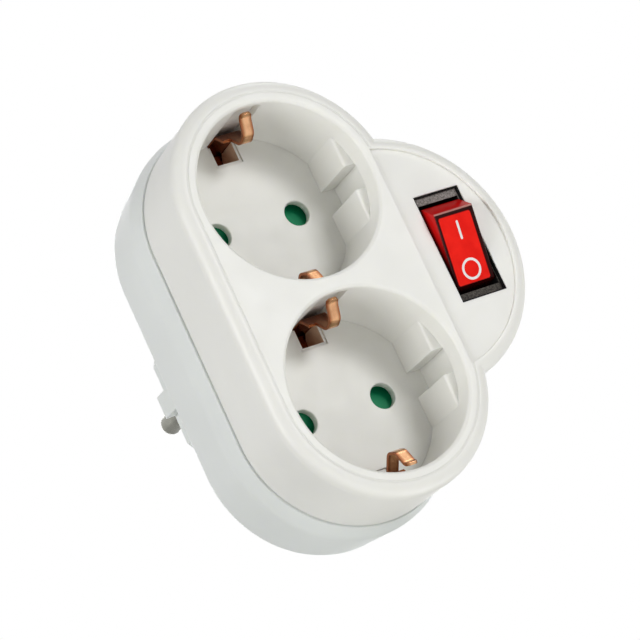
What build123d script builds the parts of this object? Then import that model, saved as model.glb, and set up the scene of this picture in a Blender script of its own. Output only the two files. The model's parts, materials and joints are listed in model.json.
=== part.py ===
from build123d import *
import math
import os

# All sizes are in millimetres. Depths are measured backwards from the front face.
# X is right, Z is up and the front faces -Y. The origin is the middle of the plug's end face.

# Standard pin and well sizes
PIN_PITCH = 19.0
PIN_RADIUS = 2.4
PIN_LENGTH = 17.5
PIN_ROOT_RADIUS = 2.1
PIN_RELIEF_RADIUS = 3.6
PIN_RELIEF_DEPTH = 0.4
PIN_HOLE_RADIUS = 2.75
WELL_RADIUS = 19.4
WELL_DEPTH = 17.6

# Housing
WELL_PITCH = 42.2
BODY_RADIUS = 24.65
EDGE_ROUND = 2.6
FACE_RADIUS = 21.5
GROOVE_WIDTH = 0.4
GROOVE_DEPTH = 0.1
RIM_ROUND = 0.7
WALL = 2.2
SEAM_DEPTH = 18.5
SEAM_GAP = 0.5
SEAM_GROW = -0.4
SHOULDER_DEPTH = 23.2
SHOULDER_GROW = 1.05
SHOULDER_ROUND = 8.0
BACK_DEPTH = 39.2
BACK_GROW = -0.6
BACK_ROUND = 2.0
BACK_WALL = 2.4
LIP_PLAY = 0.12
LIP_THICKNESS = 0.65
LIP_HEIGHT = 2.0

# Switch lobe
LOBE_X = 17.0
LOBE_RADIUS = 27.85
LOBE_BAND = 3.1
LOBE_PAD_X = 20.9
LOBE_PAD_DEPTH = 0.6
LOBE_LINE_WIDTH = 0.35
LOBE_LINE_DEPTH = 0.45

# Guide pads, clip pockets and floor of the wells
PAD_X = 16.8
PAD_TOP = 4.9
GUIDE_WIDTH = 5.5
GUIDE_X = 20.2
PAD_ROUND = 0.6
HOLE_ROUND = 0.25
CUP_WALL = 1.6
FLOOR_WALL = 1.8
POCKET_HALF_WIDTH = 3.2
POCKET_INNER = 14.0
POCKET_OUTER = 20.4
POCKET_TOP = 1.8

# Plug nose
NOSE_RADIUS = 18.5
NOSE_LENGTH = 17.0
NOSE_FLAT_X = 16.2
NOSE_RIB_WIDTH = 5.0
NOSE_RIB_X = 18.35
NOSE_WALL = 2.4
NOSE_END_WALL = 3.0
EARTH_SEAT = 17.0
EARTH_SEAT_HALF_WIDTH = 4.2
PLUG_EARTH_FOOT = 6.0
PLUG_EARTH_BOW = 0.5
PLUG_EARTH_FLAT = 3.0
PLUG_EARTH_STOP = 1.2
PLUG_EARTH_LAP = 0.3

# Earth clips and bars
CLIP_THICKNESS = 0.6
CLIP_WIDTH = 6.0
TONGUE_WIDTH = 2.6
CLIP_FOOT = 6.2
CLIP_LEG = 19.2
CLIP_BEND_DEPTH = 13.8
CLIP_SHOULDER = 16.9
CLIP_APEX = 13.5
CLIP_APEX_DEPTH = 7.2
CLIP_LIP = 14.4
CLIP_LIP_DEPTH = 4.7
CLIP_TIP = 17.4
CLIP_TIP_DEPTH = 3.2
CLIP_CURL = 17.9
CLIP_CURL_DEPTH = 2.0
CLIP_TIP_ROUND = 0.8
CLIP_BEND = 1.3
CLIP_LIP_BEND = 1.7
# each clip's spring arm, set back outwards and deeper from the lowest one, as they stand in the photo
ARM_SET_BACK = {
    ("upper", "top"): (0.9, 1.15),
    ("upper", "bottom"): (1.6, 1.7),
    ("lower", "top"): (0.9, 1.15),
    ("lower", "bottom"): (0.0, 0.0),
}
BLOCK_SINK = 0.4
BLOCK_PLAY = 0.1
BLOCK_HALF_WIDTH = 3.1
BLOCK_WALL = 0.5
BLOCK_FLANGE = 0.9
BLOCK_CUT = 1.2
BAR_THICKNESS = 0.8
EARTH_BAR_CLEAR = 1.8
EARTH_BAR_HALF_WIDTH = 3.2
PHASE_BAR_REST = 3.4
PHASE_BAR_HALF_WIDTH = 3.4
PHASE_BAR_OVERHANG = 5.0
GRIP_GAP = 2.45
GRIP_THICKNESS = 0.6
GRIP_FLARE = 3.2
TAB_REACH = 2.2
TAB_Z = {"neutral_bar": 13.0, "live_bar": 9.0}
WIRE_RADIUS = 1.0

# Shutters
SHUTTER_CLEAR = 0.3
SHUTTER_THICKNESS = 2.4
SHUTTER_REACH = 13.0
SHUTTER_HALF_ANGLE = 19.0
SHUTTER_HUB = 4.2
SHUTTER_PIVOT = 2.0
SHUTTER_PLAY = 0.08
SHUTTER_PLATE = 1.2
SHUTTER_POST_Z = 8.2
SHUTTER_POST = 1.6
PIVOT_STUB = 1.2
POST_STUB = 1.0
STUB_HEAD = 1.7
STUB_HEAD_HEIGHT = 0.5
PLATE_WIDTH = 8.4
PLATE_END = 2.2
SPRING_WIRE = 0.25
SPRING_RADIUS = 2.75

# Rocker switch
SWITCH_INSET = 13.65
SWITCH_WIDTH = 11.1
SWITCH_HEIGHT = 24.0
BEZEL_SINK = 0.2
BEZEL_PLAY = 0.06
BEZEL_RIM = 0.3
BEZEL_RECESS = 0.8
ROCKER_TILT = 14.7
ROCKER_PIVOT_DEPTH = 4.1
ROCKER_FACE = 4.9
ROCKER_TOP_HALF = 7.7
ROCKER_BASE_HALF = 9.6
ROCKER_HALF_WIDTH = 4.75
ROCKER_ROUND = 0.5
ROCKER_SKIN = 1.2
ROCKER_BASE = 0.4
ROCKER_SKIRT = -1.6
ROCKER_SIDE_CLEAR = 0.25
ROCKER_END_CLEAR = 0.5
TRUNNION_RADIUS = 1.2
TUBE_END = -5.2
BORE_RADIUS = 1.25
SPRING_TOP = 3.0
SPRING_END = -3.0
PLUNGER_TIP = -10.0
COIL_WIRE = 0.2
LAMP_OFFSET = 5.0
SWITCH_BODY_DEPTH = 20.0
TERMINAL_PITCH = 6.5
TERMINAL_RUN = 5.0
TERMINAL_WIDTH = 4.8
LEVER_TILT = 7.0
LEVER_AXIS = 15.5
LEVER_THICKNESS = 0.6
LEVER_RISE = 0.9
LEVER_VEE = 1.6
LEVER_REACH = 8.2
KNIFE_RADIUS = 0.4
KNIFE_PLAY = 0.08

# Case screws
SCREW_X = 13.0
SCREW_Z = 12.5
SCREW_RADIUS = 1.45
SCREW_SINK = 5.2
SCREW_GRIP = 3.0
SCREW_HEAD = 1.9
SCREW_HEAD_LAP = 1.3
SCREW_CHAMFER = 0.4
CROSS_LENGTH = 3.2
CROSS_WIDTH = 0.7
CROSS_DEPTH = 1.2
BOSS_JOINT = 24.0

# Sizes that follow from the ones above
PLUG_FACE = BACK_DEPTH + NOSE_LENGTH
WELL_Z = WELL_PITCH / 2
FLOOR_BACK = WELL_DEPTH + FLOOR_WALL
CUP_RADIUS = WELL_RADIUS + CUP_WALL
BASE_FRONT = SEAM_DEPTH + SEAM_GAP
BASE_FLOOR = BACK_DEPTH - BACK_WALL
FACE_BACK = LOBE_PAD_DEPTH + 2.0
SHUTTER_FRONT = FLOOR_BACK + SHUTTER_CLEAR
SHUTTER_BACK = SHUTTER_FRONT + SHUTTER_THICKNESS
PLATE_FRONT = SHUTTER_BACK + SHUTTER_CLEAR
PLATE_BACK = PLATE_FRONT + SHUTTER_PLATE
PHASE_BAR_BACK = BASE_FLOOR - PHASE_BAR_REST
PHASE_BAR_DEPTH = PHASE_BAR_BACK - BAR_THICKNESS
PHASE_BAR_MIDDLE = PHASE_BAR_DEPTH + BAR_THICKNESS / 2
TERMINAL_END = PHASE_BAR_MIDDLE - TERMINAL_RUN
EARTH_BAR_DEPTH = PLATE_BACK + EARTH_BAR_CLEAR
EARTH_BAR_BACK = EARTH_BAR_DEPTH + BAR_THICKNESS
LOBE_PAD_RADIUS = LOBE_RADIUS - LOBE_BAND
SWITCH_X = LOBE_X + LOBE_RADIUS - SWITCH_INSET
SCREW_SEAT = BACK_DEPTH - SCREW_SINK
PIN_X = PIN_PITCH / 2
LIP_OUTER = SEAM_GROW - WALL - LIP_PLAY
LIP_INNER = LIP_OUTER - LIP_THICKNESS
LIVE_TAIL = PLUG_FACE - NOSE_LENGTH + 5.0
PIN_FLANGE = PLUG_FACE - NOSE_END_WALL
EARTH_BAR_END = WELL_Z + CLIP_LEG + CLIP_THICKNESS / 2
GRIP_TOP = PLATE_BACK + 0.2
SPRING_SEAT = SHUTTER_FRONT + 0.9
BEZEL_FRONT = LOBE_PAD_DEPTH + BEZEL_SINK
OPENING_HALF_WIDTH = ROCKER_HALF_WIDTH + ROCKER_SIDE_CLEAR
OPENING_HALF_HEIGHT = ROCKER_BASE_HALF + ROCKER_END_CLEAR
SWITCH_FLOOR = SWITCH_BODY_DEPTH - 1.5
COIL_HEIGHT = SPRING_TOP - SPRING_END - 2 * COIL_WIRE
WELLS = (("upper", WELL_Z), ("lower", -WELL_Z))
SCREWS = [(sx * SCREW_X, sz * (WELL_Z + SCREW_Z)) for sx in (-1, 1) for sz in (1, -1)]


def at(depth, x=0.0, z=0.0):
    """Sketch plane that looks out of the front: its x is right and its y is up."""
    return Plane(origin=(x, depth - PLUG_FACE, z), x_dir=(1, 0, 0), z_dir=(0, -1, 0))


def side(x=0.0, z=0.0, turn=1):
    """Sketch plane seen from the side: its x is away from z (up or down), its y is depth."""
    return Plane(origin=(x, -PLUG_FACE, z), x_dir=(0, 0, turn), z_dir=(-turn, 0, 0))


def strip_outline(points, thickness):
    """Closed outline of a bent strip of one thickness, laid to the left of the given points."""
    normals = []
    for (x0, y0), (x1, y1) in zip(points, points[1:]):
        length = math.hypot(x1 - x0, y1 - y0)
        normals.append(((y0 - y1) / length, (x1 - x0) / length))
    shifted = []
    for i, (x, y) in enumerate(points):
        before = normals[max(i - 1, 0)]
        after = normals[min(i, len(normals) - 1)]
        scale = thickness / (1 + before[0] * after[0] + before[1] * after[1])
        shifted.append((x + (before[0] + after[0]) * scale, y + (before[1] + after[1]) * scale))
    return list(points) + shifted[::-1]


def tapered(outline, depth_0, grow_0, depth_1, grow_1):
    """Solid between two depths whose outline grows by the given amounts."""
    height = depth_1 - depth_0
    with BuildPart() as solid:
        with BuildSketch(at(depth_1)):
            outline(grow_1)
        extrude(amount=height, taper=math.degrees(math.atan2(grow_1 - grow_0, height)))
    return solid.part


def stadium(grow):
    SlotCenterToCenter(WELL_PITCH, 2 * (BODY_RADIUS + grow), rotation=90)


def lobe(grow):
    with Locations((LOBE_X, 0)):
        Circle(LOBE_RADIUS + grow)


def housing_levels(levels):
    """Stadium and lobe together through a list of (depth, growth) levels."""
    with BuildPart() as solid:
        for (depth_0, grow_0), (depth_1, grow_1) in zip(levels, levels[1:]):
            add(tapered(stadium, depth_0, grow_0, depth_1, grow_1))
            add(tapered(lobe, depth_0, grow_0, depth_1, grow_1))
    return solid.part


def rounded(solid, last, radius):
    """Round the frontmost (last = False) or rearmost edges of a solid."""
    with BuildPart() as result:
        add(solid)
        group = result.edges().group_by(Axis.Y)[-1 if last else 0]
        fillet(group, radius)
    return result.part


def shouldered(outline):
    """Solid of the base: it swells behind the seam, turns softly at its shoulder and narrows to its back."""
    with BuildPart() as result:
        add(tapered(outline, BASE_FRONT, SEAM_GROW + 0.3, SHOULDER_DEPTH, SHOULDER_GROW))
        add(rounded(tapered(outline, SHOULDER_DEPTH, SHOULDER_GROW, BACK_DEPTH, BACK_GROW), True, BACK_ROUND))
        shoulder = SHOULDER_DEPTH - PLUG_FACE
        fillet(result.edges().filter_by_position(Axis.Y, shoulder - 0.01, shoulder + 0.01), SHOULDER_ROUND)
    return result.part


os.makedirs("parts", exist_ok=True)

# Front cover
with BuildPart() as front_cover:
    add(rounded(tapered(stadium, 0, 0, SEAM_DEPTH, SEAM_GROW), False, EDGE_ROUND))
    add(rounded(tapered(lobe, 0, 0, SEAM_DEPTH, SEAM_GROW), False, EDGE_ROUND))
    add(housing_levels([(FACE_BACK, -WALL), (SEAM_DEPTH, SEAM_GROW - WALL)]), mode=Mode.SUBTRACT)
    # cups of the wells
    with BuildSketch(at(FLOOR_BACK)):
        with Locations(*[(0, z) for _, z in WELLS]):
            Circle(CUP_RADIUS)
    extrude(amount=FLOOR_BACK - EDGE_ROUND / 2)
    with BuildSketch(at(PAD_TOP)):
        with Locations(*[(0, z) for _, z in WELLS]):
            Circle(WELL_RADIUS)
    extrude(amount=PAD_TOP, mode=Mode.SUBTRACT)
    fillet(front_cover.edges().group_by(Axis.Y)[0].filter_by(
        lambda e: e.geom_type == GeomType.CIRCLE and abs(e.radius - WELL_RADIUS) < 0.01), RIM_ROUND)
    # lower part of the wells between the guide pads, with the guide slots
    for _, z in WELLS:
        with BuildSketch(at(WELL_DEPTH, 0, z)):
            Circle(WELL_RADIUS)
            Rectangle(2 * PAD_X, 3 * WELL_RADIUS, mode=Mode.INTERSECT)
            Rectangle(2 * GUIDE_X, GUIDE_WIDTH)
        extrude(amount=WELL_DEPTH - PAD_TOP, mode=Mode.SUBTRACT)
        with BuildSketch(at(FLOOR_BACK, 0, z)):
            with Locations((-PIN_X, 0), (PIN_X, 0)):
                Circle(PIN_HOLE_RADIUS)
        extrude(amount=FLOOR_WALL, mode=Mode.SUBTRACT)
        with BuildSketch(at(FLOOR_BACK, 0, z)):
            with Locations((0, (POCKET_INNER + POCKET_OUTER) / 2), (0, -(POCKET_INNER + POCKET_OUTER) / 2)):
                Rectangle(2 * POCKET_HALF_WIDTH, POCKET_OUTER - POCKET_INNER)
        extrude(amount=FLOOR_BACK - POCKET_TOP, mode=Mode.SUBTRACT)
    pad_edges = front_cover.edges().filter_by(GeomType.LINE).filter_by_position(
        Axis.Y, PAD_TOP - PLUG_FACE - 0.01, PAD_TOP - PLUG_FACE + 0.01)
    fillet(pad_edges.filter_by(Axis.Z), PAD_ROUND)
    fillet(front_cover.edges().filter_by(
        lambda e: e.geom_type == GeomType.CIRCLE and abs(e.radius - PIN_HOLE_RADIUS) < 0.01
        and abs(e.center().Y - WELL_DEPTH + PLUG_FACE) < 0.01), HOLE_ROUND)
    # line around the face, and the sunk pad of the lobe with the switch opening
    with BuildSketch(at(GROOVE_DEPTH)):
        SlotCenterToCenter(WELL_PITCH, 2 * FACE_RADIUS + GROOVE_WIDTH, rotation=90)
        SlotCenterToCenter(WELL_PITCH, 2 * FACE_RADIUS - GROOVE_WIDTH, rotation=90, mode=Mode.SUBTRACT)
        with Locations((LOBE_PAD_X + LOBE_RADIUS, 0)):
            Rectangle(2 * LOBE_RADIUS, 2 * WELL_Z, mode=Mode.SUBTRACT)
    extrude(amount=GROOVE_DEPTH, mode=Mode.SUBTRACT)
    with BuildSketch(at(LOBE_PAD_DEPTH)):
        with Locations((LOBE_X, 0)):
            Circle(LOBE_PAD_RADIUS)
        with Locations((LOBE_PAD_X + LOBE_RADIUS, 0)):
            Rectangle(2 * LOBE_RADIUS, 3 * LOBE_RADIUS, mode=Mode.INTERSECT)
    extrude(amount=LOBE_PAD_DEPTH, mode=Mode.SUBTRACT)
    with BuildSketch(at(LOBE_PAD_DEPTH + LOBE_LINE_DEPTH)):
        with Locations((LOBE_X, 0)):
            Circle(LOBE_PAD_RADIUS)
        with Locations((LOBE_PAD_X + LOBE_LINE_WIDTH / 2, 0)):
            Rectangle(LOBE_LINE_WIDTH, 3 * LOBE_RADIUS, mode=Mode.INTERSECT)
    extrude(amount=LOBE_LINE_DEPTH, mode=Mode.SUBTRACT)
    with BuildSketch(at(FACE_BACK + WALL, SWITCH_X)):
        Rectangle(SWITCH_WIDTH, SWITCH_HEIGHT)
    extrude(amount=FACE_BACK + WALL, mode=Mode.SUBTRACT)
    # screw bosses, shutter pivots and posts behind the floors
    with BuildSketch(at(BOSS_JOINT)):
        with Locations(*SCREWS):
            Circle(SCREW_RADIUS + 1.55)
    extrude(amount=BOSS_JOINT - FLOOR_BACK)
    with BuildSketch(at(BOSS_JOINT)):
        with Locations(*SCREWS):
            Circle(SCREW_RADIUS)
    extrude(amount=BOSS_JOINT - FLOOR_BACK - 0.8, mode=Mode.SUBTRACT)
    for _, z in WELLS:
        with BuildSketch(at(PLATE_FRONT, 0, z)):
            Circle(SHUTTER_PIVOT)
            with Locations((0, SHUTTER_POST_Z), (0, -SHUTTER_POST_Z)):
                Circle(SHUTTER_POST)
        extrude(amount=PLATE_FRONT - FLOOR_BACK)
        with BuildSketch(at(PLATE_BACK, 0, z)):
            Circle(PIVOT_STUB)
            with Locations((0, SHUTTER_POST_Z), (0, -SHUTTER_POST_Z)):
                Circle(POST_STUB)
        extrude(amount=SHUTTER_PLATE)
        with BuildSketch(at(PLATE_BACK + STUB_HEAD_HEIGHT, 0, z)):
            with Locations((0, 0), (0, SHUTTER_POST_Z), (0, -SHUTTER_POST_Z)):
                Circle(STUB_HEAD)
        extrude(amount=STUB_HEAD_HEIGHT)
front_cover.part.label = "front_cover"
export_step(front_cover.part, "parts/front_cover.step")

# Rear base with the plug nose
with BuildPart() as rear_base:
    with BuildPart() as base_outer:
        add(shouldered(stadium))
        add(shouldered(lobe))
    add(housing_levels([
        (BASE_FRONT, SEAM_GROW + 0.3 - WALL),
        (SHOULDER_DEPTH, SHOULDER_GROW - WALL),
        (BASE_FLOOR, BACK_GROW - WALL),
    ]), mode=Mode.SUBTRACT)
    # lip that closes the seam from inside
    with BuildPart() as lip:
        add(housing_levels([(BASE_FRONT - LIP_HEIGHT, LIP_OUTER), (BASE_FRONT, LIP_OUTER)]))
        add(housing_levels([(BASE_FRONT, SEAM_GROW - 1.0), (BASE_FRONT + LIP_HEIGHT, SEAM_GROW - 1.0)]))
        lip_hollow = [(BASE_FRONT - LIP_HEIGHT, LIP_INNER), (BASE_FRONT + LIP_HEIGHT, LIP_INNER)]
        add(housing_levels(lip_hollow), mode=Mode.SUBTRACT)
    add(lip.part)
    # plug nose
    with BuildSketch(at(PLUG_FACE)):
        Circle(NOSE_RADIUS)
        Rectangle(2 * NOSE_FLAT_X, 3 * NOSE_RADIUS, mode=Mode.INTERSECT)
        Rectangle(2 * NOSE_RIB_X, NOSE_RIB_WIDTH)
        with Locations((0, EARTH_SEAT + NOSE_RADIUS), (0, -EARTH_SEAT - NOSE_RADIUS)):
            Rectangle(2 * EARTH_SEAT_HALF_WIDTH, 2 * NOSE_RADIUS, mode=Mode.SUBTRACT)
    extrude(amount=PLUG_FACE - BASE_FLOOR)
    chamfer(rear_base.edges().group_by(Axis.Y)[-1], 0.6)
    with BuildSketch(at(PLUG_FACE - NOSE_END_WALL)):
        Circle(EARTH_SEAT - 1.4)
        Rectangle(2 * (NOSE_FLAT_X - NOSE_WALL), 3 * NOSE_RADIUS, mode=Mode.INTERSECT)
    extrude(amount=PLUG_FACE - NOSE_END_WALL - BASE_FLOOR, mode=Mode.SUBTRACT)
    for radius, depth in ((PIN_ROOT_RADIUS, NOSE_END_WALL), (PIN_RELIEF_RADIUS, PIN_RELIEF_DEPTH)):
        with BuildSketch(at(PLUG_FACE)):
            with Locations((-PIN_X, 0), (PIN_X, 0)):
                Circle(radius)
        extrude(amount=depth, mode=Mode.SUBTRACT)
    with BuildSketch(at(BACK_DEPTH)):
        with Locations((0, EARTH_SEAT + BAR_THICKNESS / 2), (0, -EARTH_SEAT - BAR_THICKNESS / 2)):
            Rectangle(2 * EARTH_BAR_HALF_WIDTH + 0.6, BAR_THICKNESS)
    extrude(amount=BACK_WALL, mode=Mode.SUBTRACT)
    # screw bosses
    with BuildSketch(at(BASE_FLOOR)):
        with Locations(*SCREWS):
            Circle(SCREW_RADIUS + 1.75)
    extrude(amount=BASE_FLOOR - BOSS_JOINT)
    with BuildSketch(at(BASE_FLOOR)):
        with Locations(*SCREWS):
            Circle(SCREW_RADIUS + 2.85)
    extrude(amount=BASE_FLOOR - SCREW_SEAT + 1.5)
    with BuildSketch(at(BACK_DEPTH)):
        with Locations(*SCREWS):
            Circle(SCREW_RADIUS + 0.25)
    extrude(amount=BACK_DEPTH - BOSS_JOINT, mode=Mode.SUBTRACT)
    with BuildSketch(at(BACK_DEPTH)):
        with Locations(*SCREWS):
            Circle(SCREW_RADIUS + 1.55)
    extrude(amount=BACK_DEPTH - SCREW_SEAT, mode=Mode.SUBTRACT)
    # rests under the bars and under the switch
    with BuildSketch(at(BASE_FLOOR)):
        rests = [(sx * PIN_X, sz * (WELL_Z + dz)) for sx in (-1, 1) for sz in (-1, 1) for dz in (-3.6, 3.6)]
        with Locations(*rests):
            Rectangle(4.0, 1.6)
    extrude(amount=BASE_FLOOR - PHASE_BAR_BACK)
    with BuildSketch(at(BASE_FLOOR)):
        with Locations((0, WELL_Z + 7.4), (0, -WELL_Z - 7.4)):
            Circle(2.4)
    extrude(amount=BASE_FLOOR - EARTH_BAR_BACK)
    with BuildSketch(at(BASE_FLOOR, SWITCH_X)):
        with Locations((0, SWITCH_HEIGHT / 2 - 1.6), (0, 1.6 - SWITCH_HEIGHT / 2)):
            Rectangle(SWITCH_WIDTH - 1.0, 1.6)
    extrude(amount=BASE_FLOOR - SWITCH_BODY_DEPTH)
rear_base.part.label = "rear_base"
export_step(rear_base.part, "parts/rear_base.step")

# Case screws
for number, (x, z) in enumerate(SCREWS, start=1):
    with BuildPart() as case_screw:
        with BuildSketch(at(SCREW_SEAT, x, z)):
            Circle(SCREW_RADIUS)
        extrude(amount=SCREW_SEAT - BOSS_JOINT + SCREW_GRIP)
        with BuildSketch(at(SCREW_SEAT + SCREW_HEAD, x, z)):
            Circle(SCREW_RADIUS + SCREW_HEAD_LAP)
        extrude(amount=SCREW_HEAD)
        chamfer(case_screw.edges().group_by(Axis.Y)[-1], SCREW_CHAMFER)
        with BuildSketch(at(SCREW_SEAT + SCREW_HEAD, x, z)):
            Rectangle(CROSS_LENGTH, CROSS_WIDTH)
            Rectangle(CROSS_WIDTH, CROSS_LENGTH)
        extrude(amount=CROSS_DEPTH, mode=Mode.SUBTRACT)
    case_screw.part.label = f"case_screw_{number}"
    export_step(case_screw.part, f"parts/case_screw_{number}.step")

# Plug pins, the left one neutral and riveted to its bar, the right one live with a cup for its wire
for name, x, tail in (("pin_neutral", -PIN_X, PHASE_BAR_BACK), ("pin_live", PIN_X, LIVE_TAIL)):
    with BuildPart() as plug_pin:
        with BuildSketch(at(PLUG_FACE + PIN_LENGTH, x)):
            Circle(PIN_RADIUS)
        extrude(amount=PIN_LENGTH + PIN_RELIEF_DEPTH)
        fillet(plug_pin.edges().group_by(Axis.Y)[-1], 1.6)
        with BuildSketch(at(PLUG_FACE - PIN_RELIEF_DEPTH, x)):
            Circle(PIN_ROOT_RADIUS)
        extrude(amount=NOSE_END_WALL - PIN_RELIEF_DEPTH)
        with BuildSketch(at(PIN_FLANGE, x)):
            Circle(PIN_RADIUS + 1.0)
        extrude(amount=1.2)
        with BuildSketch(at(PIN_FLANGE - 1.2, x)):
            Circle(1.8)
        extrude(amount=PIN_FLANGE - 1.2 - tail)
        if name == "pin_neutral":
            with BuildSketch(at(PHASE_BAR_BACK, x)):
                Circle(1.2)
            extrude(amount=BAR_THICKNESS)
            with BuildSketch(at(PHASE_BAR_DEPTH, x)):
                Circle(2.0)
            extrude(amount=0.7)
        else:
            with BuildSketch(at(LIVE_TAIL + 3.0, x)):
                Circle(1.2)
            extrude(amount=3.0, mode=Mode.SUBTRACT)
    plug_pin.part.label = name
    export_step(plug_pin.part, f"parts/{name}.step")

# Earth bar, side contacts of the plug, and the four clips
with BuildPart() as earth_bar:
    with BuildSketch(at(EARTH_BAR_BACK)):
        Rectangle(2 * EARTH_BAR_HALF_WIDTH, 2 * EARTH_BAR_END)
    extrude(amount=BAR_THICKNESS)
earth_bar.part.label = "earth_bar"
export_step(earth_bar.part, "parts/earth_bar.step")

for name, turn in (("upper", 1), ("lower", -1)):
    contact_path = [
        (EARTH_SEAT - PLUG_EARTH_FOOT, EARTH_BAR_BACK),
        (EARTH_SEAT + BAR_THICKNESS, EARTH_BAR_BACK),
        (EARTH_SEAT + BAR_THICKNESS, BACK_DEPTH + PLUG_EARTH_FLAT),
        (EARTH_SEAT + BAR_THICKNESS + PLUG_EARTH_BOW, BACK_DEPTH + NOSE_LENGTH / 2),
        (EARTH_SEAT + BAR_THICKNESS, PLUG_FACE - PLUG_EARTH_FLAT),
        (EARTH_SEAT + BAR_THICKNESS, PLUG_FACE - PLUG_EARTH_STOP),
    ]
    with BuildPart() as plug_earth:
        with BuildSketch(side(0, 0, turn)):
            Polygon(*strip_outline(contact_path, BAR_THICKNESS), align=None)
        extrude(amount=EARTH_BAR_HALF_WIDTH + PLUG_EARTH_LAP, both=True)
    plug_earth.part.label = f"plug_earth_{name}"
    export_step(plug_earth.part, f"parts/plug_earth_{name}.step")

clip_foot_depth = EARTH_BAR_DEPTH - CLIP_THICKNESS / 2


def clip_paths(outwards, deeper):
    """Middle lines of a clip: its wide foot and leg, and its spring arm with the lip."""
    apex = CLIP_APEX + outwards, CLIP_APEX_DEPTH + deeper
    slope = (CLIP_BEND_DEPTH - apex[1]) / (CLIP_LEG - apex[0])
    shoulder = CLIP_SHOULDER, apex[1] + (CLIP_SHOULDER - apex[0]) * slope
    root = CLIP_SHOULDER + 0.4, apex[1] + (CLIP_SHOULDER + 0.4 - apex[0]) * slope
    foot_end = CLIP_LEG - CLIP_FOOT, clip_foot_depth
    wide = [foot_end, (CLIP_LEG, clip_foot_depth), (CLIP_LEG, CLIP_BEND_DEPTH), shoulder]
    lip = CLIP_LIP + outwards, CLIP_LIP_DEPTH + deeper
    tip = CLIP_TIP + outwards, CLIP_TIP_DEPTH + deeper
    curl = CLIP_CURL + outwards, CLIP_CURL_DEPTH + deeper
    return wide, [root, apex, lip, tip, curl]


block_front = WELL_DEPTH + BLOCK_SINK
block_back = EARTH_BAR_DEPTH - CLIP_THICKNESS - BLOCK_PLAY
block_outer = CLIP_LEG - CLIP_THICKNESS / 2 - BLOCK_PLAY
block_inner = POCKET_INNER + BLOCK_PLAY
block_outline = [
    (block_inner, block_front),
    (block_outer, block_front),
    (block_outer, block_back - BLOCK_CUT),
    (block_outer - BLOCK_CUT, block_back),
    (block_inner - BLOCK_FLANGE, block_back),
    (block_inner - BLOCK_FLANGE, FLOOR_BACK + BLOCK_PLAY),
    (block_inner, FLOOR_BACK + BLOCK_PLAY),
]
block_hollow = [
    (block_inner + BLOCK_WALL, block_front - 1),
    (block_outer + 1, block_front - 1),
    (block_outer + 1, block_back + 1),
    (block_inner + BLOCK_WALL, block_back + 1),
]
for well, z in WELLS:
    for place, turn in (("top", 1), ("bottom", -1)):
        with BuildPart() as earth_clip:
            wide_path, arm_path = clip_paths(*ARM_SET_BACK[well, place])
            strips = ((wide_path, CLIP_WIDTH, CLIP_BEND), (arm_path, TONGUE_WIDTH, CLIP_LIP_BEND))
            for path, width, bend in strips:
                with BuildSketch(side(0, z, turn)):
                    with BuildLine():
                        FilletPolyline(*path, radius=bend)
                    trace(line_width=CLIP_THICKNESS)
                extrude(amount=width / 2, both=True)
            tip_edges = earth_clip.edges().filter_by(lambda e: abs(e.length - CLIP_THICKNESS) < 0.01)
            fillet(tip_edges.sort_by(Axis.Y)[:2], CLIP_TIP_ROUND)
        earth_clip.part.label = f"earth_clip_{well}_{place}"
        export_step(earth_clip.part, f"parts/earth_clip_{well}_{place}.step")

        # insulating sleeve that lines the pocket on three sides and rests on the clip's foot
        with BuildPart() as clip_block:
            with BuildSketch(side(0, z, turn)):
                Polygon(*block_outline, align=None)
            extrude(amount=BLOCK_HALF_WIDTH, both=True)
            with BuildSketch(side(0, z, turn)):
                Polygon(*block_hollow, align=None)
            extrude(amount=BLOCK_HALF_WIDTH - BLOCK_WALL, both=True, mode=Mode.SUBTRACT)
        clip_block.part.label = f"clip_block_{well}_{place}"
        export_step(clip_block.part, f"parts/clip_block_{well}_{place}.step")

# Neutral and live bars with spring grips for the pins
grip_leaf = [
    (GRIP_GAP + 0.05, PHASE_BAR_MIDDLE),
    (GRIP_GAP, GRIP_TOP + GRIP_FLARE),
    (GRIP_GAP + 0.8, GRIP_TOP),
]
for name, x in (("neutral_bar", -PIN_X), ("live_bar", PIN_X)):
    with BuildPart() as phase_bar:
        with BuildSketch(at(PHASE_BAR_BACK, x)):
            Rectangle(2 * PHASE_BAR_HALF_WIDTH, WELL_PITCH + 2 * PHASE_BAR_OVERHANG)
            with Locations((PHASE_BAR_HALF_WIDTH, TAB_Z[name])):
                Rectangle(2 * TAB_REACH, 3.0)
            with Locations((0, WELL_Z), (0, -WELL_Z)):
                Circle(PIN_RADIUS + 0.3, mode=Mode.SUBTRACT)
            if name == "neutral_bar":
                Circle(1.2, mode=Mode.SUBTRACT)
        extrude(amount=BAR_THICKNESS)
        for _, z in WELLS:
            for hand in (-1, 1):
                with BuildSketch(Plane(origin=(x, -PLUG_FACE, z), x_dir=(hand, 0, 0), z_dir=(0, 0, hand))):
                    Polygon(*strip_outline(grip_leaf, GRIP_THICKNESS), align=None)
                extrude(amount=2.6, both=True)
    phase_bar.part.label = name
    export_step(phase_bar.part, f"parts/{name}.step")

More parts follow.
